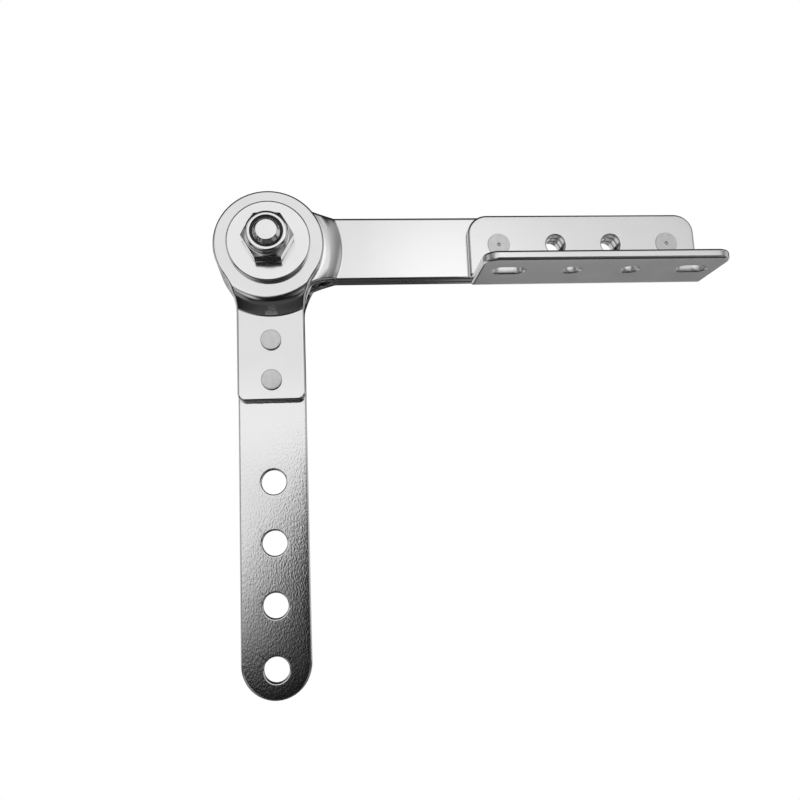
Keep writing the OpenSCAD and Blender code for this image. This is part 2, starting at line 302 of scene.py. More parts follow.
class Graph:
    """Node tree of a material or of the world, emptied, with one method that adds any node."""

    def __init__(self, owner):
        owner.use_nodes = True
        self.tree = owner.node_tree
        self.tree.nodes.clear()

    def node(self, kind, choices=None, sockets=None, out=0):
        """Adds a node, makes its choices, then gives each socket its value or its wire."""
        made = self.tree.nodes.new(kind)
        for name, value in (choices or {}).items():
            setattr(made, name, value)
        for name, value in (sockets or {}).items():
            if isinstance(value, Wire):
                self.tree.links.new(value.socket, made.inputs[name])
            else:
                made.inputs[name].default_value = value
        return Wire(self, made.outputs[out]) if len(made.outputs) else None

    def place(self):
        """The point on the object itself, in metres."""
        return self.node("ShaderNodeTexCoord", out="Object")

    def noise(self, point, width, detail=2.0, stretch=(1, 1, 1)):
        """Soft random values from 0 to 1 whose dimples are about one width across."""
        scale = [s / width for s in stretch]
        spread = self.node("ShaderNodeVectorMath", {"operation": "MULTIPLY"}, {0: point, 1: scale})
        return self.node("ShaderNodeTexNoise", None, {"Vector": spread, "Scale": 1.0, "Detail": detail})

    def ramp(self, value, low, high, to_low=0.0, to_high=1.0, easing="LINEAR"):
        """Straight line from one pair of values to another, held level beyond them."""
        return self.node("ShaderNodeMapRange", {"clamp": True, "interpolation_type": easing}, {
            "Value": value, "From Min": low, "From Max": high, "To Min": to_low, "To Max": to_high})

    def soft(self, value, low, high, to_low=0.0, to_high=1.0):
        """The same with an eased start and end. It falls where low is the higher one."""
        return self.ramp(value, low, high, to_low, to_high, "SMOOTHSTEP")

    def mix(self, share, first, second):
        """Colour between two colours."""
        return self.node("ShaderNodeMix", {"data_type": "RGBA"}, {0: share, 6: first, 7: second}, out=2)

    def bump(self, height, distance, normal=None):
        """Normal of a surface raised by a height from 0 to 1, times a distance in metres."""
        sockets = {"Height": height, "Distance": distance, "Strength": 1.0}
        if normal is not None:
            sockets["Normal"] = normal
        return self.node("ShaderNodeBump", None, sockets)

    def surface(self, colour, roughness, normal, metallic=0.0):
        """Ends the tree in a surface of this colour, roughness and normal."""
        self.end("Material", self.node("ShaderNodeBsdfPrincipled", None, {
            "Base Color": colour, "Metallic": metallic, "Roughness": roughness, "Normal": normal}))

    def glow(self, owner, kind, strength):
        """Ends the tree of a world or a material in white light."""
        self.end(owner, self.node("ShaderNode" + kind, None, {"Color": WHITE, "Strength": strength}))

    def end(self, owner, surface):
        """Adds the output node."""
        self.node("ShaderNodeOutput" + owner, None, {"Surface": surface})


def shade(colour, amount):
    """A colour made lighter or darker, with its opaque alpha."""
    return [min(1.0, c * amount) for c in colour] + [1.0]


def new_material(name):
    """A material with its graph, the point on the object and the finish settings."""
    material = bpy.data.materials.new(name)
    graph = Graph(material)
    return material, graph, graph.place(), settings("hinge_finish")


def plated(name, colour, roughness, lines_along=None, peel=1.0, brush=1.0):
    """Bright plating: soft dimples, the rolled metal's fine lines along one axis, and faint clouding.

    The dimples are drawn out a little along the lines, and the lines are 50 times as long as wide.
    A turned part has no such axis, and its lines are specks.
    """
    material, graph, point, finish = new_material(name)
    stretch = [0.6 if axis == lines_along else 1.1 for axis in "XYZ"]
    dimples = graph.noise(point, width=finish.peel_size, stretch=stretch)
    stretch = [0.02 if axis == lines_along else 1.0 for axis in "XYZ"]
    lines = graph.noise(point, width=0.00012, stretch=stretch)
    clouds = graph.noise(point, width=0.011, detail=3.0)
    normal = graph.bump(dimples, finish.peel_depth * peel)
    normal = graph.bump(lines, finish.brush_depth * brush, normal)
    graph.surface(graph.mix(clouds, shade(colour, 0.95), shade(colour, 1.04)),
                  roughness + 0.06 * clouds + 0.05 * lines, normal, metallic=1.0)
    return material


def set_rivet():
    """Dull steel of a pressed rivet head: shallow hammer marks and a grainy surface."""
    material, graph, point, finish = new_material("set_rivet_steel")
    marks = graph.noise(point, width=0.0016, detail=1.0)
    grain = graph.noise(point, width=0.00018)
    normal = graph.bump(grain, distance=0.000006, normal=graph.bump(marks, distance=0.00003))
    graph.surface(graph.mix(marks, shade(finish.rivet, 0.88), shade(finish.rivet, 1.1)),
                  0.26 + 0.2 * grain, normal, metallic=1.0)
    return material


def friction_fibre():
    """Dark pressed fibre: matted strands and a dusty tone."""
    material, graph, point, finish = new_material("friction_fibre")
    strands = graph.noise(point, width=0.0004, detail=4.0, stretch=(0.4, 1, 1))
    dust = graph.noise(point, width=0.003)
    graph.surface(graph.mix(strands * dust, shade(finish.fibre, 0.7), shade(finish.fibre, 2.2)),
                  0.75 + 0.15 * dust, graph.bump(strands, distance=0.00003))
    return material


def nylon():
    """Dark nylon with a low sheen, scuffed by the thread that cuts into it."""
    material, graph, point, finish = new_material("lock_nylon")
    scuffs = graph.noise(point, width=0.0005, detail=3.0)
    graph.surface(graph.mix(scuffs, shade(finish.nylon, 0.7), shade(finish.nylon, 1.8)),
                  0.4 + 0.2 * scuffs, graph.bump(scuffs, distance=0.00001))
    return material


def add_piece(name, patches, material, body, node):
    """One closed mesh from grids of points, welded, smooth, and standing for one solid.

    Each grid's neighbouring rows and columns are joined by four-sided faces. Flat faces keep their
    flat look because normals are weighted by area.
    """
    points = np.concatenate([patch.reshape(-1, 3) for patch in patches])
    quads = []
    start = 0
    for patch in patches:
        rows, columns = patch.shape[:2]
        index = start + np.arange(rows * columns).reshape(rows, columns)
        corner_points = [index[:-1, :-1], index[:-1, 1:], index[1:, 1:], index[1:, :-1]]
        quads.append(np.stack(corner_points, -1).reshape(-1, 4))
        start += rows * columns
    mesh = bpy.data.meshes.new(name)
    mesh.from_pydata(points, [], np.concatenate(quads))
    build = bmesh.new()
    build.from_mesh(mesh)
    bmesh.ops.remove_doubles(build, verts=build.verts, dist=WELD)
    bmesh.ops.recalc_face_normals(build, faces=build.faces)
    build.to_mesh(mesh)
    build.free()
    mesh.shade_smooth()
    mesh.set_sharp_from_angle(angle=CREASE)
    piece = show(mesh, material)
    even = piece.modifiers.new("weighted_normals", "WEIGHTED_NORMAL")
    even.mode = "FACE_AREA"
    even.weight = 100
    even.keep_sharp = True
    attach(piece, body)
    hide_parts(node)
    return piece


def soften(piece, width):
    """Rounds every crease of a piece, before its normals are weighted."""
    bevel = piece.modifiers.new("softened_creases", "BEVEL")
    bevel.width = width
    bevel.segments = 3
    bevel.limit_method = "ANGLE"
    bevel.angle_limit = ROUNDED_CREASE
    piece.modifiers.move(1, 0)


def quarter(depth, spread=None):
    """Insets and depths of a quarter of an ellipse that rolls from a face over to its wall."""
    turn = np.linspace(0, math.pi / 2, EDGE_STEPS + 1)
    return (spread or depth) * (1 - np.sin(turn)), depth * (1 - np.cos(turn))


def rolled(edge, thickness, spread=None):
    """Insets and depths through a plate's rim: a rolled edge, the wall, a rolled edge."""
    inset, depth = quarter(edge, spread)
    return np.concatenate([inset, inset[::-1]]), np.concatenate([depth, thickness - depth[::-1]])


def perimeter(ladder, rows, columns):
    """Closed line round a block of a ladder's points, from row to row and column to column."""
    top, bottom = rows
    left, right = columns
    return np.concatenate([
        ladder[top, left:right + 1],
        ladder[top + 1:bottom + 1, right],
        ladder[bottom, left:right][::-1],
        ladder[top:bottom, left][::-1],
    ])


def hole_line(around, centre, radius, half_run):
    """Outline of a hole, with one point on the ray to each point of the line around it.

    A ray that meets a slot's straight side ends radius over its sideways part from the centre. Any
    other ray ends on the round end, at run + sqrt(radius^2 - (half run x sideways part)^2).
    """
    ray = around - centre
    ray = ray / np.linalg.norm(ray, axis=-1, keepdims=True)
    sideways, run = np.abs(ray[:, 0]), np.abs(ray[:, 1])
    to_side = radius / np.maximum(sideways, TINY)
    inside = np.maximum(radius ** 2 - (half_run * sideways) ** 2, 0)
    to_end = half_run * run + np.sqrt(inside)
    reach = np.where(to_side * run <= half_run, to_side, to_end)
    return centre + ray * reach[:, None]


def spread_over(first, last):
    """Rows inside a hole's cell, so that its wall stays round."""
    return list(np.linspace(first, last, CELL_STEPS + 1)[1:-1])


def between(first, second):
    """Straight rows of points from one line to another."""
    share = np.linspace(0, 1, CELL_ROWS + 1)[:, None, None]
    return first * (1 - share) + second * share


class Hole:
    """A round hole or a slot in a plate, and the profile of its wall from the front to the back."""

    def __init__(self, centre, radius, half_run=0.0, seat=None):
        self.centre = np.array(centre)
        self.radius = radius
        self.half_run = half_run
        self.seat = seat

    def profile(self, edge, thickness):
        """Radii and depths down the wall: rolled edges, or a cone for a sunk head in front."""
        if self.seat is None:
            grow, depth = rolled(edge, thickness)
            return self.radius + grow, depth
        seat_radius, seat_depth = self.seat
        grow, depth = quarter(edge)
        return (
            np.concatenate([[seat_radius, self.radius], self.radius + grow[::-1]]),
            np.concatenate([[0.0, seat_depth], thickness - depth[::-1]]),
        )

    def patches(self, around, form, edge, thickness):
        """The flat cells in front and behind, and the wall between them."""
        radii, depths = self.profile(edge, thickness)
        walls = [hole_line(around, self.centre, r, self.half_run) for r in radii]
        return [
            form(between(around, walls[0]), 0.0),
            form(between(around, walls[-1]), thickness),
            np.stack([form(wall, depth) for wall, depth in zip(walls, depths)]),
        ]


def cells_along(stops, places, half_cell, radius):
    """First row, last row and hole of a cell round each place, whose rows it adds to the stops."""
    cells = []
    for place in places:
        first, last = stops[-1], place + half_cell
        stops += spread_over(first, last) + [last]
        cells.append((first, last, Hole((0, place), radius)))
    return cells


def cell_patches(ladder, blocks, form, edge, thickness):
    """Faces of a plate's blocks in front and behind, with the holes that they hold.

    A block is (first and last row, first and last column, hole or None) of the ladder of points.
    """
    made = []
    for rows, columns, hole in blocks:
        if hole is None:
            block = ladder[rows[0]:rows[1] + 1, columns[0]:columns[1] + 1]
            made += [form(block, 0.0), form(block, thickness)]
        else:
            made += hole.patches(perimeter(ladder, rows, columns), form, edge, thickness)
    return made


def step_height(radius, high, low, head_bend, foot_bend, start, foot, slope):
    """Height of one face of a pressed step, as a function of the distance from the pivot.

    Level, then an arc that falls from the start, then a straight slope, then an arc that ends level
    at the foot. head_bend and foot_bend are this face's own radii.
    """
    head_end = start + head_bend * math.sin(slope)
    foot_start = foot - foot_bend * math.sin(slope)
    fall = np.clip(radius - start, 0, head_end - start)
    rise = np.clip(foot - radius, 0, foot - foot_start)
    on_head = high - head_bend + np.sqrt(head_bend ** 2 - fall ** 2)
    on_foot = low + foot_bend - np.sqrt(foot_bend ** 2 - rise ** 2)
    share = np.clip((radius - head_end) / (foot_start - head_end), 0, 1)
    return on_head * (1 - share) + on_foot * share


class Leaf:
    """A plate with a round head, two neck fillets and a strip, laid out in the flat.

    Points are (across, along) from the pivot, and every outline is a function of its inset, so
    that a rolled edge can be carried round it.
    """

    def __init__(self, length, corner, spread, stops, holes):
        sizes = settings("hinge_leaves")
        self.half_width = sizes.strip_width / 2
        self.neck = sizes.neck_radius
        self.edge = sizes.rolled_edge
        self.spread = spread
        self.hole_edge = sizes.hole_edge
        self.bore = sizes.bore_radius
        self.length = length
        self.corner = corner
        self.stops = stops
        self.holes = holes
        self.neck_side = math.sqrt((HEAD_R + self.neck) ** 2 - (self.half_width + self.neck) ** 2)
        self.neck_turn = math.atan2(self.half_width + self.neck, self.neck_side)

    def across(self, inset):
        """Columns over the strip: close together in its end corners, level between them."""
        turn = np.linspace(math.pi / 2, 0, CORNER_STEPS + 1)
        straight = self.half_width - self.corner
        side = straight + (self.corner - inset) * np.sin(turn)
        drop = (self.corner - inset) * np.cos(turn)
        if straight < WELD:
            return np.concatenate([-side[:-1], side[::-1]]), np.concatenate([drop[:-1], drop[::-1]])
        middle = np.linspace(-straight, straight, CORNER_STEPS + 1)[1:-1]
        level = np.full(len(middle), self.corner - inset)
        return np.concatenate([-side, middle, side[::-1]]), np.concatenate([drop, level, drop[::-1]])

    def turn(self, radius, inset):
        """Half the angle that the leaf spans at a distance from the pivot.

        On the neck it is the angle of the fillet's centre less that of the triangle between pivot,
        fillet centre and point. On the strip it is asin(half width over distance).
        """
        reach = HEAD_R + self.neck
        cosine = (reach ** 2 + radius ** 2 - (self.neck + inset) ** 2) / (2 * reach * radius)
        return self.neck_turn - np.arccos(np.clip(cosine, -1, 1))

    def ladder(self, inset):
        """Rows of points from the head down the neck and the strip to its end."""
        columns, drops = self.across(inset)
        share = columns / (self.half_width - inset)
        first = HEAD_R - inset
        last = math.hypot(self.half_width - inset, self.neck_side)
        radius = np.linspace(first, last, NECK_ROWS)[:, None]
        angle = self.turn(radius, inset) * share
        neck = np.stack([radius * np.sin(angle), radius * np.cos(angle)], -1)
        level = np.array(self.stops)[:, None]
        strip = np.stack(np.broadcast_arrays(columns[None], level), -1)
        end = np.stack([columns, self.length - self.corner + drops], -1)[None]
        return np.concatenate([neck, strip, end])

    def open_head(self):
        """Angles round the head from one neck to the other, the long way."""
        return np.linspace(-self.neck_turn, self.neck_turn - 2 * math.pi, HEAD_STEPS + 1)

    def outline(self, inset):
        """Closed outline: down one side, round the end, up the other side and round the head."""
        rows = self.ladder(inset)
        angle = self.open_head()[1:]
        radius = HEAD_R - inset
        head = np.stack([radius * np.sin(angle), radius * np.cos(angle)], -1)
        return np.concatenate([rows[:, -1], rows[-1, -2::-1], rows[-2::-1, 0], head])

    def blocks(self):
        """The ladder cut into plain blocks and blocks that hold a hole."""
        rows = NECK_ROWS + len(self.stops)
        columns = (0, len(self.across(0.0)[0]) - 1)
        marks = [0]
        made = []
        for first, last, hole in self.holes:
            row = NECK_ROWS + self.stops.index(first)
            end = rows if last is None else NECK_ROWS + self.stops.index(last)
            if row > marks[-1]:
                made.append(((marks[-1], row), columns, None))
            made.append(((row, end), columns, hole))
            marks.append(end)
        if marks[-1] < rows:
            made.append(((marks[-1], rows), columns, None))
        return made

    def patches(self, form, thickness):
        """Faces, rim and bore of the leaf, carried into place by form(points, depth)."""
        edge, spread = self.edge, self.spread
        rows = self.ladder(spread)
        made = cell_patches(rows, self.blocks(), form, self.hole_edge, thickness)
        insets, depths = rolled(edge, thickness, spread)
        made.append(np.stack([form(self.outline(i), d) for i, d in zip(insets, depths)]))
        share = self.across(spread)[0] / (self.half_width - spread)
        insets, depths = rolled(self.hole_edge, thickness)
        for angle in (self.open_head(), share * self.neck_turn):
            ray = np.stack([np.sin(angle), np.cos(angle)], -1)
            face = np.stack([ray * (self.bore + self.hole_edge), ray * (HEAD_R - spread)])
            made += [form(face, 0.0), form(face, thickness)]
            made.append(np.stack([form(ray * (self.bore + i), d) for i, d in zip(insets, depths)]))
        return made


def stepped(high, low, thickness, slope, head_bend, foot, place):
    """Forming of a leaf with a pressed step: its height depends on the distance from the pivot.

    The step ends at the foot, and starts both bends' and the straight slope's run before it. high
    and low are the inner face's heights at the head and on the strip.
    """
    bend = settings("hinge_leaves").bend_radius
    both = head_bend + bend + thickness
    run = (high - low - both * (1 - math.cos(slope))) / math.tan(slope)
    start = foot - both * math.sin(slope) - run

    def form(points, depth):
        radius = np.linalg.norm(points, axis=-1)
        outer = step_height(radius, high + thickness, low + thickness, head_bend + thickness, bend,
                            start, foot, slope)
        inner = step_height(radius, high, low, head_bend, bend + thickness, start, foot, slope)
        height = outer - depth if depth <= thickness / 2 else inner + (thickness - depth)
        return place(points, height)

    return form


def hanging(points, height):
    """Carries a leaf's flat layout to the hinge with its strip pointing down."""
    flat = np.broadcast_to(height, points.shape[:-1])
    return np.stack([points[..., 0], -flat, PIVOT[2] - points[..., 1]], -1)


def reaching(points, height):
    """Carries a leaf's flat layout to the hinge with its strip along the arm."""
    flat = np.broadcast_to(height, points.shape[:-1])
    return np.stack([points[..., 1], -flat, PIVOT[2] + points[..., 0]], -1)


def add_pair(kind, patches, material, body):
    """Adds the leaf in front and the one behind, which mirrors it."""
    mirrored = [patch * [1, -1, 1] for patch in patches]
    add_piece("plated_front_" + kind, patches, material, body, "front_" + kind)
    add_piece("plated_back_" + kind, mirrored, material, body, "back_" + kind)


def turned_piece(profile, centre):
    """Profile of (radius, height) pairs carried round an axis that points to the front.

    x = centre + radius sin(angle), z = centre + radius cos(angle), y = centre - height.
    """
    radius, height = np.array(profile).T
    angle = np.linspace(0, 2 * math.pi, ROUND_STEPS + 1)
    return centre + np.stack([
        np.outer(radius, np.sin(angle)),
        np.broadcast_to(-height[:, None], (len(radius), len(angle))),
        np.outer(radius, np.cos(angle)),
    ], -1)


def ring_profile(inner, outer, low, high, edge):
    """Closed section of a ring with four rolled edges."""
    inset, depth = quarter(edge)
    return np.concatenate([
        np.stack([outer - inset, high - depth], -1),
        np.stack([outer - inset[::-1], low + depth[::-1]], -1),
        np.stack([inner + inset, low + depth], -1),
        np.stack([inner + inset[::-1], high - depth[::-1]], -1),
        [[outer - edge, high]],
    ])


def ring_round_pivot(node, bore, edge):
    """Ring with a solid's radius and heights, whose bore and rolled edges are given."""
    low, high = corners(node)
    return [turned_piece(ring_profile(bore, high[0], -high[1], -low[1], edge), PIVOT)]


def set_head(radius, shoulder, crown, base):
    """Rivet head's section from its foot to its crown: a straight wall, a round shoulder, a low dome.

    The dome's rise is a fifth of the shoulder and falls off with the square of the radius.
    """
    turn = np.linspace(0, math.pi / 2, SHOULDER_STEPS + 1)
    rise = shoulder / 5
    round_off = np.stack([radius - shoulder * (1 - np.cos(turn)),
                          base + crown - rise - shoulder * (1 - np.sin(turn))], -1)
    across = np.linspace(radius - shoulder, 0, DOME_STEPS + 1)[1:]
    height = base + crown - rise * (across / (radius - shoulder)) ** 2
    return np.concatenate([[[radius, base]], round_off, np.stack([across, height], -1)])


def gap_beside_plate():
    """Distance between two neighbouring leaves: a friction disc and its play."""
    return DISC_HIGH[1] - DISC_LOW[1] + settings("hinge_leaves").slide_gap


def arm_inside():
    """Height of the inner face of an arm plate's head."""
    return STRAP_HIGH[1] + gap_beside_plate()


def ear_inside():
    """Height of the inner face of an ear's head."""
    return -ARM_LOW[1] + gap_beside_plate()


class PieceOperator(bpy.types.Operator):
    """Shared ground of the operators that make a piece."""

    bl_options = {"REGISTER", "UNDO"}


class HINGE_OT_strap(PieceOperator):
    """Make the drilled strap with its round head and round end"""

    bl_idname = "hinge.make_strap"
    bl_label = "Make Strap"

    def execute(self, context):
        sizes = settings("hinge_leaves")
        length = PIVOT[2] - STRAP_LOW[2]
        corner = sizes.strip_width / 2
        _, outer = mount("strap_holes_outer")
        _, inner = mount("strap_holes_inner")
        places = [PIVOT[2] + side * row["spacing_y_mm"] / 2
                  for row, side in ((outer, -1), (inner, -1), (inner, 1), (outer, 1))]
        half_cell = (places[1] - places[0]) / 2
        stops = [places[0] - half_cell - GUARD, places[0] - half_cell]
        holes = cells_along(stops, places[:-1], half_cell, outer["hole_r_mm"])
        holes.append((stops[-1], None, Hole((0, places[-1]), outer["hole_r_mm"])))
        stops += spread_over(stops[-1], length - corner)
        leaf = Leaf(length, corner, sizes.strap_spread, stops, holes)

        def form(points, depth):
            return hanging(points, PLATE / 2 - depth)

        material = plated("nickel_strap", settings("hinge_finish").nickel,
                          roughness=0.05, lines_along="Z")
        add_piece("plated_strap", leaf.patches(form, PLATE), material, SUPPORT, "strap")
        return {"FINISHED"}


class HINGE_OT_ears(PieceOperator):
    """Make the two pressed ears that hold the strap's head between them"""

    bl_idname = "hinge.make_ears"
    bl_label = "Make Ears"

    def execute(self, context):
        sizes = settings("hinge_leaves")
        high = ear_inside()
        thickness = -EAR_LOW[1] - high
        on_flat = 0.045
        leaf = Leaf(PIVOT[2] - EAR_LOW[2], sizes.ear_corner, sizes.ear_spread, [PAST_STEP, on_flat], [])
        form = stepped(high, -EAR_HIGH[1], thickness, sizes.ear_slope, sizes.bend_radius,
                       sizes.ear_foot, hanging)
        material = plated("nickel_ear", settings("hinge_finish").nickel,
                          roughness=0.08, lines_along="Z", peel=0.3, brush=0.6)
        add_pair("ear", leaf.patches(form, thickness), material, SUPPORT)
        return {"FINISHED"}


class HINGE_OT_arm_plates(PieceOperator):
    """Make the two pressed plates of the arm"""

    bl_idname = "hinge.make_arm_plates"
    bl_label = "Make Arm Plates"

    def execute(self, context):
        sizes = settings("hinge_leaves")
        high = arm_inside()
        thickness = -ARM_LOW[1] - high
        places, _, row = hole_pair("leg_holes")
        half_cell = (places[1] - places[0]) / 2
        stops = [PAST_STEP, places[0] - half_cell - GUARD, places[0] - half_cell]
        holes = cells_along(stops, places, half_cell, row["hole_r_mm"])
        stops.append(stops[-1] + GUARD)
        leaf = Leaf(ARM_HIGH[0], sizes.arm_corner, sizes.arm_spread, stops, holes)
        form = stepped(high, 0.0, thickness, sizes.arm_slope, sizes.arm_bend, sizes.arm_foot, reaching)
        material = plated("nickel_arm", settings("hinge_finish").nickel,
                          roughness=0.1, lines_along="X", peel=0.15)
        add_pair("arm", leaf.patches(form, thickness), material, ARM)
        return {"FINISHED"}


class Bracket:
    """The angle bracket, laid out as the flat blank that is folded.

    Points are (across the fold, along the arm). The leg's free edge is at 0 across, then come the
    leg, the bend and the flange.
    """

    def __init__(self):
        sizes = settings("hinge_bracket")
        self.edge = sizes.rolled_edge
        self.spread = sizes.edge_spread
        self.leg_corner = sizes.leg_corner
        self.flange_corner = sizes.flange_corner
        self.inner_bend = sizes.bend_radius
        self.outer_bend = sizes.bend_radius + PLATE
        self.length = BRACKET_HIGH[0] - BRACKET_LOW[0]
        self.leg = BRACKET_HIGH[2] - BRACKET_LOW[2] - self.outer_bend
        self.bend = self.outer_bend * math.pi / 2
        self.flange = BRACKET_HIGH[1] - BRACKET_LOW[1] - self.outer_bend
        self.width = self.leg + self.bend + self.flange
        self.bend_centre = np.array([BRACKET_HIGH[1], BRACKET_LOW[2]]) + self.outer_bend * np.array([-1, 1])

    def across(self, inset):
        """Columns over the blank, how far each end row is set in there, and two columns' numbers.

        They are the last column of the leg and the first one of the flange, beside the bend.
        """
        turn = np.linspace(math.pi / 2, 0, CORNER_STEPS + 1)
        leg = self.leg_corner - (self.leg_corner - inset) * np.sin(turn)
        flange = (self.flange_corner - inset) * np.sin(turn[::-1]) + self.width - self.flange_corner
        bend_start, bend_end = self.leg, self.leg + self.bend
        columns = [
            leg, np.linspace(self.leg_corner, bend_start - GUARD, FLAT_STEPS + 1)[1:],
            np.linspace(bend_start, bend_end, BEND_STEPS + 1),
            np.linspace(bend_end + GUARD, self.width - self.flange_corner, FLAT_STEPS + 1), flange[1:],
        ]
        ends = [
            self.leg_corner - (self.leg_corner - inset) * np.cos(turn),
            np.full(2 * FLAT_STEPS + BEND_STEPS + 2, inset),
            self.flange_corner - (self.flange_corner - inset) * np.cos(turn[::-1][1:]),
        ]
        leg_end = len(leg) + FLAT_STEPS - 1
        return np.concatenate(columns), np.concatenate(ends), (leg_end, leg_end + BEND_STEPS + 2)

    def ladder(self, inset, levels):
        """Rows of points from one end of the bracket to the other."""
        columns, ends, _ = self.across(inset)
        first = np.stack([columns, ends], -1)[None]
        last = np.stack([columns, self.length - ends], -1)[None]
        level = np.array(levels)[:, None]
        straight = np.stack(np.broadcast_arrays(columns[None], level), -1)
        return np.concatenate([first, straight, last])

    def form(self, points, depth):
        """Folds the blank: leg upright, a quarter turn round the bend's centre, flange level.

        Depth is measured from the inner face, which is the leg's front and the flange's top.
        """
        across, along = points[..., 0], points[..., 1]
        on_leg = np.minimum(across, self.leg)
        turn = np.clip(across - self.leg, 0, self.bend) / self.bend * math.pi / 2
        on_flange = np.maximum(across - self.leg - self.bend, 0)
        radius = self.inner_bend + depth
        y = self.bend_centre[0] + radius * np.cos(turn) - on_flange
        z = self.bend_centre[1] - radius * np.sin(turn) + (self.leg - on_leg)
        return np.stack([BRACKET_LOW[0] + along, y, z], -1)

    def patches(self, leg_holes, flange_holes):
        """Faces, rim and holes of the folded bracket."""
        middles = [hole.centre[1] for hole in leg_holes]
        cuts = [(a + b) / 2 for a, b in zip(middles, middles[1:])]
        past_corners = 1.02 * max(self.leg_corner, self.flange_corner)
        levels = [past_corners]
        breaks = [0]
        for end in cuts + [self.length - past_corners]:
            levels += list(np.linspace(levels[-1], end, CELL_STEPS)[1:])
            breaks.append(len(levels))
        breaks[-1] += 1
        rows = self.ladder(self.spread, levels)
        bend_start, bend_end = self.across(self.spread)[2]
        blocks = [((0, len(rows) - 1), (bend_start, bend_end), None)]
        for first, last, leg_hole, flange_hole in zip(breaks, breaks[1:], leg_holes, flange_holes):
            blocks.append(((first, last), (0, bend_start), leg_hole))
            blocks.append(((first, last), (bend_end, rows.shape[1] - 1), flange_hole))
        made = cell_patches(rows, blocks, self.form, settings("hinge_leaves").hole_edge, PLATE)
        last_row = len(rows) - 1
        last_column = rows.shape[1] - 1
        insets, depths = rolled(self.edge, PLATE, self.spread)
        made.append(np.stack([
            self.form(perimeter(self.ladder(i, levels), (0, last_row), (0, last_column)), d)
            for i, d in zip(insets, depths)
        ]))
        return made


class HINGE_OT_bracket(PieceOperator):
    """Make the angle bracket with its holes, its slots and its sunk rivet seats"""

    bl_idname = "hinge.make_bracket"
    bl_label = "Make Bracket"

    def execute(self, context):
        bracket = Bracket()
        play = settings("hinge_fasteners").play
        rivet_low, rivet_high = corners("arm_rivet_inner")
        head = (rivet_high[0] - rivet_low[0]) / 2
        shank = settings("hinge_fasteners").rivet_radius
        seat = (head + play, head - shank)
        places, centre, leg = hole_pair("leg_holes")
        row = BRACKET_HIGH[2] - centre[2]
        sunk = [Hole((row, middle_of(node)[0] - BRACKET_LOW[0]), shank + play, seat=seat)
                for node in ("arm_rivet_inner", "arm_rivet_outer")]
        drilled = [Hole((row, x - BRACKET_LOW[0]), leg["hole_r_mm"]) for x in places]
        leg_holes = [sunk[0], *drilled, sunk[1]]
        places, centre, slots = hole_pair("flange_slots")
        row = bracket.leg + bracket.bend + bracket.bend_centre[0] - centre[1]
        half_run = slots["slot_length_mm"] / 2 - slots["hole_r_mm"]
        slotted = [Hole((row, x - BRACKET_LOW[0]), slots["hole_r_mm"], half_run) for x in places]
        places, _, flange = hole_pair("flange_holes")
        drilled = [Hole((row, x - BRACKET_LOW[0]), flange["hole_r_mm"]) for x in places]
        flange_holes = [slotted[0], *drilled, slotted[1]]
        material = plated("nickel_bracket", settings("hinge_finish").nickel,
                          roughness=0.16, lines_along="X", peel=0.3, brush=2.0)
        patches = bracket.patches(leg_holes, flange_holes)
        add_piece("plated_bracket", patches, material, ARM, "angle_bracket")
        return {"FINISHED"}


class HINGE_OT_rivets(PieceOperator):
    """Make the two domed ear rivets and the two sunk arm rivets"""

    bl_idname = "hinge.make_rivets"
    bl_label = "Make Rivets"

    def execute(self, context):
        sizes = settings("hinge_fasteners")
        material = set_rivet()
        for node in ("ear_rivet_upper", "ear_rivet_lower"):
            low, high = corners(node)
            radius = (high[0] - low[0]) / 2
            foot = -EAR_HIGH[1] + (-EAR_LOW[1] - ear_inside())
            head = set_head(radius, sizes.head_shoulder, high[1] - foot, foot)
            half = np.concatenate([[[sizes.rivet_radius, foot]], head])
            profile = np.concatenate([half[::-1], half * [1, -1]])
            add_piece("set_" + node, [turned_piece(profile, middle_of(node))], material,
                      SUPPORT, node)
        for node in ("arm_rivet_inner", "arm_rivet_outer"):
            low, high = corners(node)
            radius = (high[0] - low[0]) / 2
            face = -low[1]
            leg_face = face - sizes.sunk_proud
            back = -ARM_LOW[1] - arm_inside()
            sink = radius - sizes.rivet_radius
            punch = sizes.punch_radius
            rim = 0.0001
            behind = set_head(radius, sizes.head_shoulder, high[1] - back, back) * [1, -1]
            profile = np.concatenate([
                [[0.0, face - punch], [punch, face], [radius - rim, face], [radius, face - rim],
                 [radius, leg_face], [sizes.rivet_radius, leg_face - sink]],
                [[sizes.rivet_radius, -back]], behind,
            ])
            add_piece("set_" + node, [turned_piece(profile, middle_of(node))], material,
                      ARM, node)
        return {"FINISHED"}


class HINGE_OT_discs(PieceOperator):
    """Make the four friction discs"""

    bl_idname = "hinge.make_discs"
    bl_label = "Make Friction Discs"

    def execute(self, context):
        material = friction_fibre()
        bore = settings("hinge_leaves").bore_radius
        for side in ("front_outer", "front_inner", "back_inner", "back_outer"):
            node = "friction_disc_" + side
            add_piece("fibre_disc_" + side, ring_round_pivot(node, bore, edge=0.00015), material,
                      SUPPORT, node)
        return {"FINISHED"}


class HINGE_OT_washers(PieceOperator):
    """Make the large washers under the nut and under the bolt's head"""

    bl_idname = "hinge.make_washers"
    bl_label = "Make Washers"

    def execute(self, context):
        sizes = settings("hinge_fasteners")
        material = plated("bright_washer", settings("hinge_finish").fastener,
                          roughness=0.09, peel=0.15)
        for node in ("nut_washer", "bolt_washer"):
            ring = ring_round_pivot(node, sizes.bolt_radius + sizes.play, sizes.washer_edge)
            add_piece("bright_" + node, ring, material, SUPPORT, node)
        return {"FINISHED"}


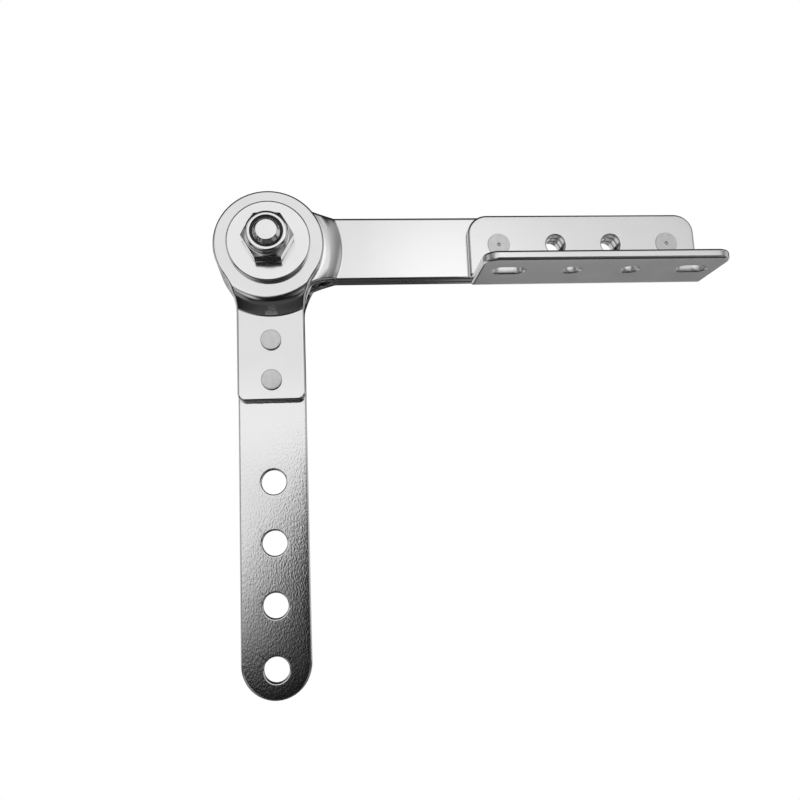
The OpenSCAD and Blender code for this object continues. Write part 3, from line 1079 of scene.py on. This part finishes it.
def hexagon(flats, angle):
    """Distance from the axis to a hexagon's side: half its flats over cos of the angle from a flat."""
    sector = math.pi / 3
    return flats / 2 / np.cos((angle + sector / 2) % sector - sector / 2)


def hex_rows(flats, turned, height, angle, round_foot):
    """Radii and heights up a hexagon whose corners are turned off by a cone of 30 degrees.

    The cone leaves the hexagon where its radius is the hexagon's own, so each column has its own
    height there: (hexagon's radius - turned radius) x tan 30.
    """
    side = hexagon(flats, angle)
    level = np.zeros_like(angle)
    fall = (side - turned) * math.tan(math.pi / 6)
    rows = [(turned + level, level), (side, fall)] if round_foot else [(side, level)]
    return rows + [(side, height - fall), (turned + level, height + level)]


def place_rows(rows, angle, centre):
    """Rows of radii and heights over one set of angles, round an axis that points to the front."""
    radius = np.stack([np.broadcast_to(r, angle.shape) for r, _ in rows])
    height = np.stack([np.broadcast_to(h, angle.shape) for _, h in rows])
    return centre + np.stack([radius * np.sin(angle), -height, radius * np.cos(angle)], -1)


class HINGE_OT_lock_nut(PieceOperator):
    """Make the lock nut with its collar and the nylon ring inside it"""

    bl_idname = "hinge.make_lock_nut"
    bl_label = "Make Lock Nut"

    def execute(self, context):
        sizes = settings("hinge_fasteners")
        flats = NUT_HIGH[2] - NUT_LOW[2]
        turned = sizes.hex_turn * flats / 2
        height = NUT_HIGH[1] - NUT_LOW[1]
        base = PIVOT - [0, -NUT_HIGH[1], 0]
        bore = sizes.bolt_radius + sizes.play
        angle = np.linspace(0, 2 * math.pi, 6 * SIDE_STEPS + 1)
        hex_height = sizes.nut_hex_height
        crown = np.linspace(0, math.pi / 2, EDGE_STEPS + 1)
        collar = sizes.collar_radius - sizes.collar_round
        rows = [(bore, 0.0)] + hex_rows(flats, turned, hex_height, angle, True)
        rows += [(sizes.collar_radius, hex_height)]
        rows += [(collar + sizes.collar_round * math.cos(a), height + sizes.collar_round * (math.sin(a) - 1))
                 for a in crown]
        under_lip = height - sizes.lip_thickness
        rows += [(sizes.lip_radius, height), (sizes.lip_radius, under_lip), (sizes.insert_radius, under_lip),
                 (sizes.insert_radius, hex_height), (bore, hex_height), (bore, 0.0)]
        material = plated("bright_nut", settings("hinge_finish").fastener,
                          roughness=0.07, peel=0.3)
        nut = add_piece("bright_lock_nut", [place_rows(rows, angle, base)], material,
                        SUPPORT, "lock_nut")
        soften(nut, width=0.00008)
        ring = ring_round_pivot("lock_ring", bore, edge=0.0001)
        add_piece("nylon_ring", ring, nylon(), SUPPORT, "lock_ring")
        return {"FINISHED"}


class HINGE_OT_bolt(PieceOperator):
    """Make the pivot bolt with its hexagon head behind and its threaded end in front"""

    bl_idname = "hinge.make_bolt"
    bl_label = "Make Bolt"

    def execute(self, context):
        sizes = settings("hinge_fasteners")
        flats = NUT_HIGH[2] - NUT_LOW[2]
        turned = sizes.hex_turn * flats / 2
        end = -BOLT_LOW[1]
        back = -WASHER_LOW[1]
        head_height = BOLT_HIGH[1] - back
        angle = np.linspace(0, 2 * math.pi, 6 * SIDE_STEPS + 1)
        head = [(r, -back - h) for r, h in hex_rows(flats, turned, head_height, angle, False)]
        radius = sizes.bolt_radius
        first = -NUT_LOW[1] - sizes.lip_thickness
        level = np.linspace(first, end - sizes.bolt_chamfer, THREAD_STEPS + 1)
        wave = (level[:, None] / sizes.thread_pitch + angle / (2 * math.pi)) % 1
        run_in = np.linspace(0, 1, THREAD_STEPS + 1)[:, None]
        groove = sizes.thread_depth * (0.5 - 0.5 * np.cos(2 * math.pi * wave)) * run_in
        rows = [(0.0, -back - head_height)] + head[::-1] + [(radius, -back), (radius, first)]
        rows += [(radius - groove[i], level[i]) for i in range(len(level))]
        bend = sizes.bolt_edge
        foot = radius - sizes.bolt_chamfer - bend * math.tan(math.pi / 8)
        rows += [(foot + bend * math.sin(a), end - bend * (1 - math.cos(a)))
                 for a in np.linspace(math.pi / 4, 0, EDGE_STEPS // 2 + 1)] + [(0.0, end)]
        material = plated("bright_bolt", settings("hinge_finish").fastener,
                          roughness=0.1, peel=0.6)
        add_piece("bright_pivot_bolt", [place_rows(rows, angle, PIVOT)], material,
                  SUPPORT, "pivot_bolt")
        return {"FINISHED"}


class HINGE_OT_stage(PieceOperator):
    """Make the camera, the light tent, the world and the floor"""

    bl_idname = "hinge.make_stage"
    bl_label = "Make Stage"

    def execute(self, context):
        stage = settings("hinge_stage")
        scene = context.scene
        camera = bpy.data.cameras.new("camera")
        camera.lens = stage.lens
        camera.sensor_width = SENSOR
        camera.clip_start = 0.01
        eye = bpy.data.objects.new("camera", camera)
        eye.location = stage.camera_place
        eye.rotation_euler = stage.camera_turn
        scene.collection.objects.link(eye)
        scene.camera = eye
        scene.view_settings.view_transform = "Standard"
        make_world(stage.world_light)
        make_tent(stage)
        make_floor(stage)
        return {"FINISHED"}


def white_for_seeing(graph, strength):
    """1 for rays that look, mirror or pass through, and the plain strength for the rest."""
    sees = graph.node("ShaderNodeLightPath", out="Is Camera Ray")
    mirrors = graph.node("ShaderNodeLightPath", out="Is Glossy Ray")
    passes = graph.node("ShaderNodeLightPath", out="Is Transmission Ray")
    looks = graph.ramp(sees + mirrors + passes, 0.0, 1.0)
    return looks * (1 - strength) + strength


def make_world(strength):
    """White world, with a softer light of its own for dull surfaces."""
    world = bpy.data.worlds.new("white_studio")
    bpy.context.scene.world = world
    graph = Graph(world)
    graph.glow("World", "Background", white_for_seeing(graph, strength))


def show(mesh, material):
    """Object of the mesh's name in the scene."""
    mesh.materials.append(material)
    shown = bpy.data.objects.new(mesh.name, mesh)
    bpy.context.scene.collection.objects.link(shown)
    return shown


def tent_strength(graph, direction, x, y, z, stage):
    """Strength of the light tent in a direction (x, y, z) from its centre.

    Ahead is -y, towards the camera. Straight ahead it is light above a level near the camera's
    height and dark below it, and the level is higher to the right. A darker ring parts that from
    the cove, which is bright overhead, dimmer to both sides and dark below. Behind, it is dark but
    for a band under the camera's height and a fill on either side. Fills of plain light at the
    sides, in front below and lower down keep the metal light where other views mirror it.
    """
    soft, ramp = graph.soft, graph.ramp

    def toward(value, goal, share):
        """A value brought nearer to a goal by a share of the way."""
        return value + (goal - value) * share

    def either_side(value, near, far):
        """Rises on both sides of zero."""
        return soft(value, -near, -far) + soft(value, near, far)

    ahead = 0.0 - y
    level = ramp(x, -0.127, 0.0, -0.115, 0.088)
    blend = ramp(x, -0.127, -0.048, 0.1, 0.06)
    low = stage.dark_level + 0.2 * ramp(x, -0.045, -0.11) * soft(z, -0.22, -0.15)
    low = low + 0.08 * soft(x, 0.1, 0.3)
    front = toward(low, 1, soft((z - level) / blend, -1.0, 1.0))
    front = front + 0.14 * soft(z, 0.06, 0.1) * soft(z, 0.21, 0.15)
    front = front - 0.12 * soft(z, 0.3, 0.4) * soft(x, 0.0, 0.15)
    lamp = [0.165, -0.936, 0.31]
    near_lamp = graph.node("ShaderNodeVectorMath", {"operation": "DOT_PRODUCT"},
                           {0: direction, 1: lamp}, out="Value")
    front = front + 0.4 * soft(near_lamp, 0.988, 0.9995)

    side_level = 0.75
    overhead = soft(z, 0.4, 0.65) * soft(x, 0.5, 0.25)
    cove = soft(z, -0.25, 0.1, 0.02, side_level) + (stage.cove_level - side_level) * overhead
    cove = cove * (1 - 0.7 * soft(x, 0.3, 1.0)) * (1 - 0.75 * soft(x, -0.55, -0.8))
    cove = cove + 0.06 * soft(z, -0.7, -0.9)
    cove = cove * (1 - 0.7 * soft(ahead, 0.66, 0.72) * soft(x, 0.4, 0.25))

    band = soft(z, -0.65, -0.5) * ramp(z + 0.12 * soft(x, 0.2, 0.08), -0.25, -0.335)
    behind = 0.015 + 0.42 * band
    behind = behind + 0.7 * soft(x, 0.12, 0.28) * soft(z, -0.23, -0.15) * soft(z, 0.2, 0.1)
    left_behind = soft(x, -0.18, -0.3) * soft(z, 0.25, 0.15) * soft(y, 0.3, 0.5)
    behind = toward(behind, 0.75, left_behind)

    above = soft(z, 0.35, 0.7) * soft(x, 0.8, 0.5)
    strength = toward(behind, cove, soft(ahead - 0.8 * above, -0.2, 0.05))
    strength = toward(strength, front, soft(ahead, 0.795, 0.825))

    beside = soft(x, -0.22, -0.34) + soft(x, 0.28, 0.42)
    below = soft(z, -0.2, -0.3) * soft(z, -0.75, -0.6) * soft(ahead, 0.66, 0.78)
    strength = toward(strength, 0.65 - 0.3 * ramp(x, 0.1, 0.3), beside * below)
    lower = soft(z, -0.35, -0.45) * soft(ahead, 0.1, 0.25) * soft(ahead, 0.7, 0.6)
    strength = toward(strength, 0.25, either_side(x, 0.45, 0.6) * lower)
    return toward(strength, 0.6, either_side(x, 0.86, 0.94) * soft(z, -0.35, -0.1))


def make_tent(stage):
    """Light tent round the hinge that only mirrors show."""
    mesh = bpy.data.meshes.new("light_tent")
    build = bmesh.new()
    bmesh.ops.create_icosphere(build, subdivisions=5, radius=stage.tent_radius)
    bmesh.ops.translate(build, verts=build.verts, vec=stage.tent_centre)
    build.to_mesh(mesh)
    build.free()
    material, graph, point, _ = new_material("light_tent")
    offset = graph.node("ShaderNodeVectorMath", {"operation": "SUBTRACT"},
                        {0: point, 1: list(stage.tent_centre)})
    direction = graph.node("ShaderNodeVectorMath", {"operation": "NORMALIZE"}, {0: offset})
    x, y, z = (graph.node("ShaderNodeSeparateXYZ", None, {0: direction}, out=i) for i in range(3))
    graph.glow("Material", "Emission", tent_strength(graph, direction, x, y, z, stage))
    tent = show(mesh, material)
    for ray in ("camera", "diffuse", "transmission", "volume_scatter", "shadow"):
        setattr(tent, "visible_" + ray, False)


def make_floor(stage):
    """Plain pale floor, white where it is seen."""
    reach = 3.0
    height = STRAP_LOW[2] - stage.floor_drop
    mesh = bpy.data.meshes.new("floor")
    mesh.from_pydata([(-reach, -reach, height), (reach, -reach, height), (reach, reach, height),
                      (-reach, reach, height)], [], [(0, 1, 2, 3)])
    material = bpy.data.materials.new("pale_floor")
    graph = Graph(material)
    graph.glow("Material", "Emission", white_for_seeing(graph, stage.world_light))
    floor = show(mesh, material)
    floor.visible_glossy = False


class HINGE_PT_panel(bpy.types.Panel):
    """Lists the hinge's sizes and the operators that make its pieces"""

    bl_idname = "HINGE_PT_panel"
    bl_label = "Sofa Headrest Hinge"
    bl_space_type = "VIEW_3D"
    bl_region_type = "UI"
    bl_category = "Hinge"

    def draw(self, context):
        for operator in OPERATORS:
            self.layout.operator(operator.bl_idname)
        for group, kind in GROUPS.items():
            box = self.layout.box()
            for name in kind.__annotations__:
                box.prop(getattr(context.scene, group), name)


OPERATORS = (
    HINGE_OT_strap, HINGE_OT_ears, HINGE_OT_arm_plates, HINGE_OT_bracket, HINGE_OT_rivets,
    HINGE_OT_discs, HINGE_OT_washers, HINGE_OT_lock_nut, HINGE_OT_bolt, HINGE_OT_stage,
)


def register():
    """Registers the property groups, the operators and the panel."""
    for group, kind in GROUPS.items():
        bpy.utils.register_class(kind)
        setattr(bpy.types.Scene, group, bpy.props.PointerProperty(type=kind))
    for kind in (*OPERATORS, HINGE_PT_panel):
        bpy.utils.register_class(kind)


def unregister():
    """Takes everything out again, in the opposite order."""
    for kind in (HINGE_PT_panel, *reversed(OPERATORS)):
        bpy.utils.unregister_class(kind)
    for group, kind in reversed(GROUPS.items()):
        delattr(bpy.types.Scene, group)
        bpy.utils.unregister_class(kind)


def main():
    """Makes every piece and the stage."""
    register()
    for operator in OPERATORS:
        family, name = operator.bl_idname.split(".")
        getattr(getattr(bpy.ops, family), name)()


if __name__ == "__main__":
    main()
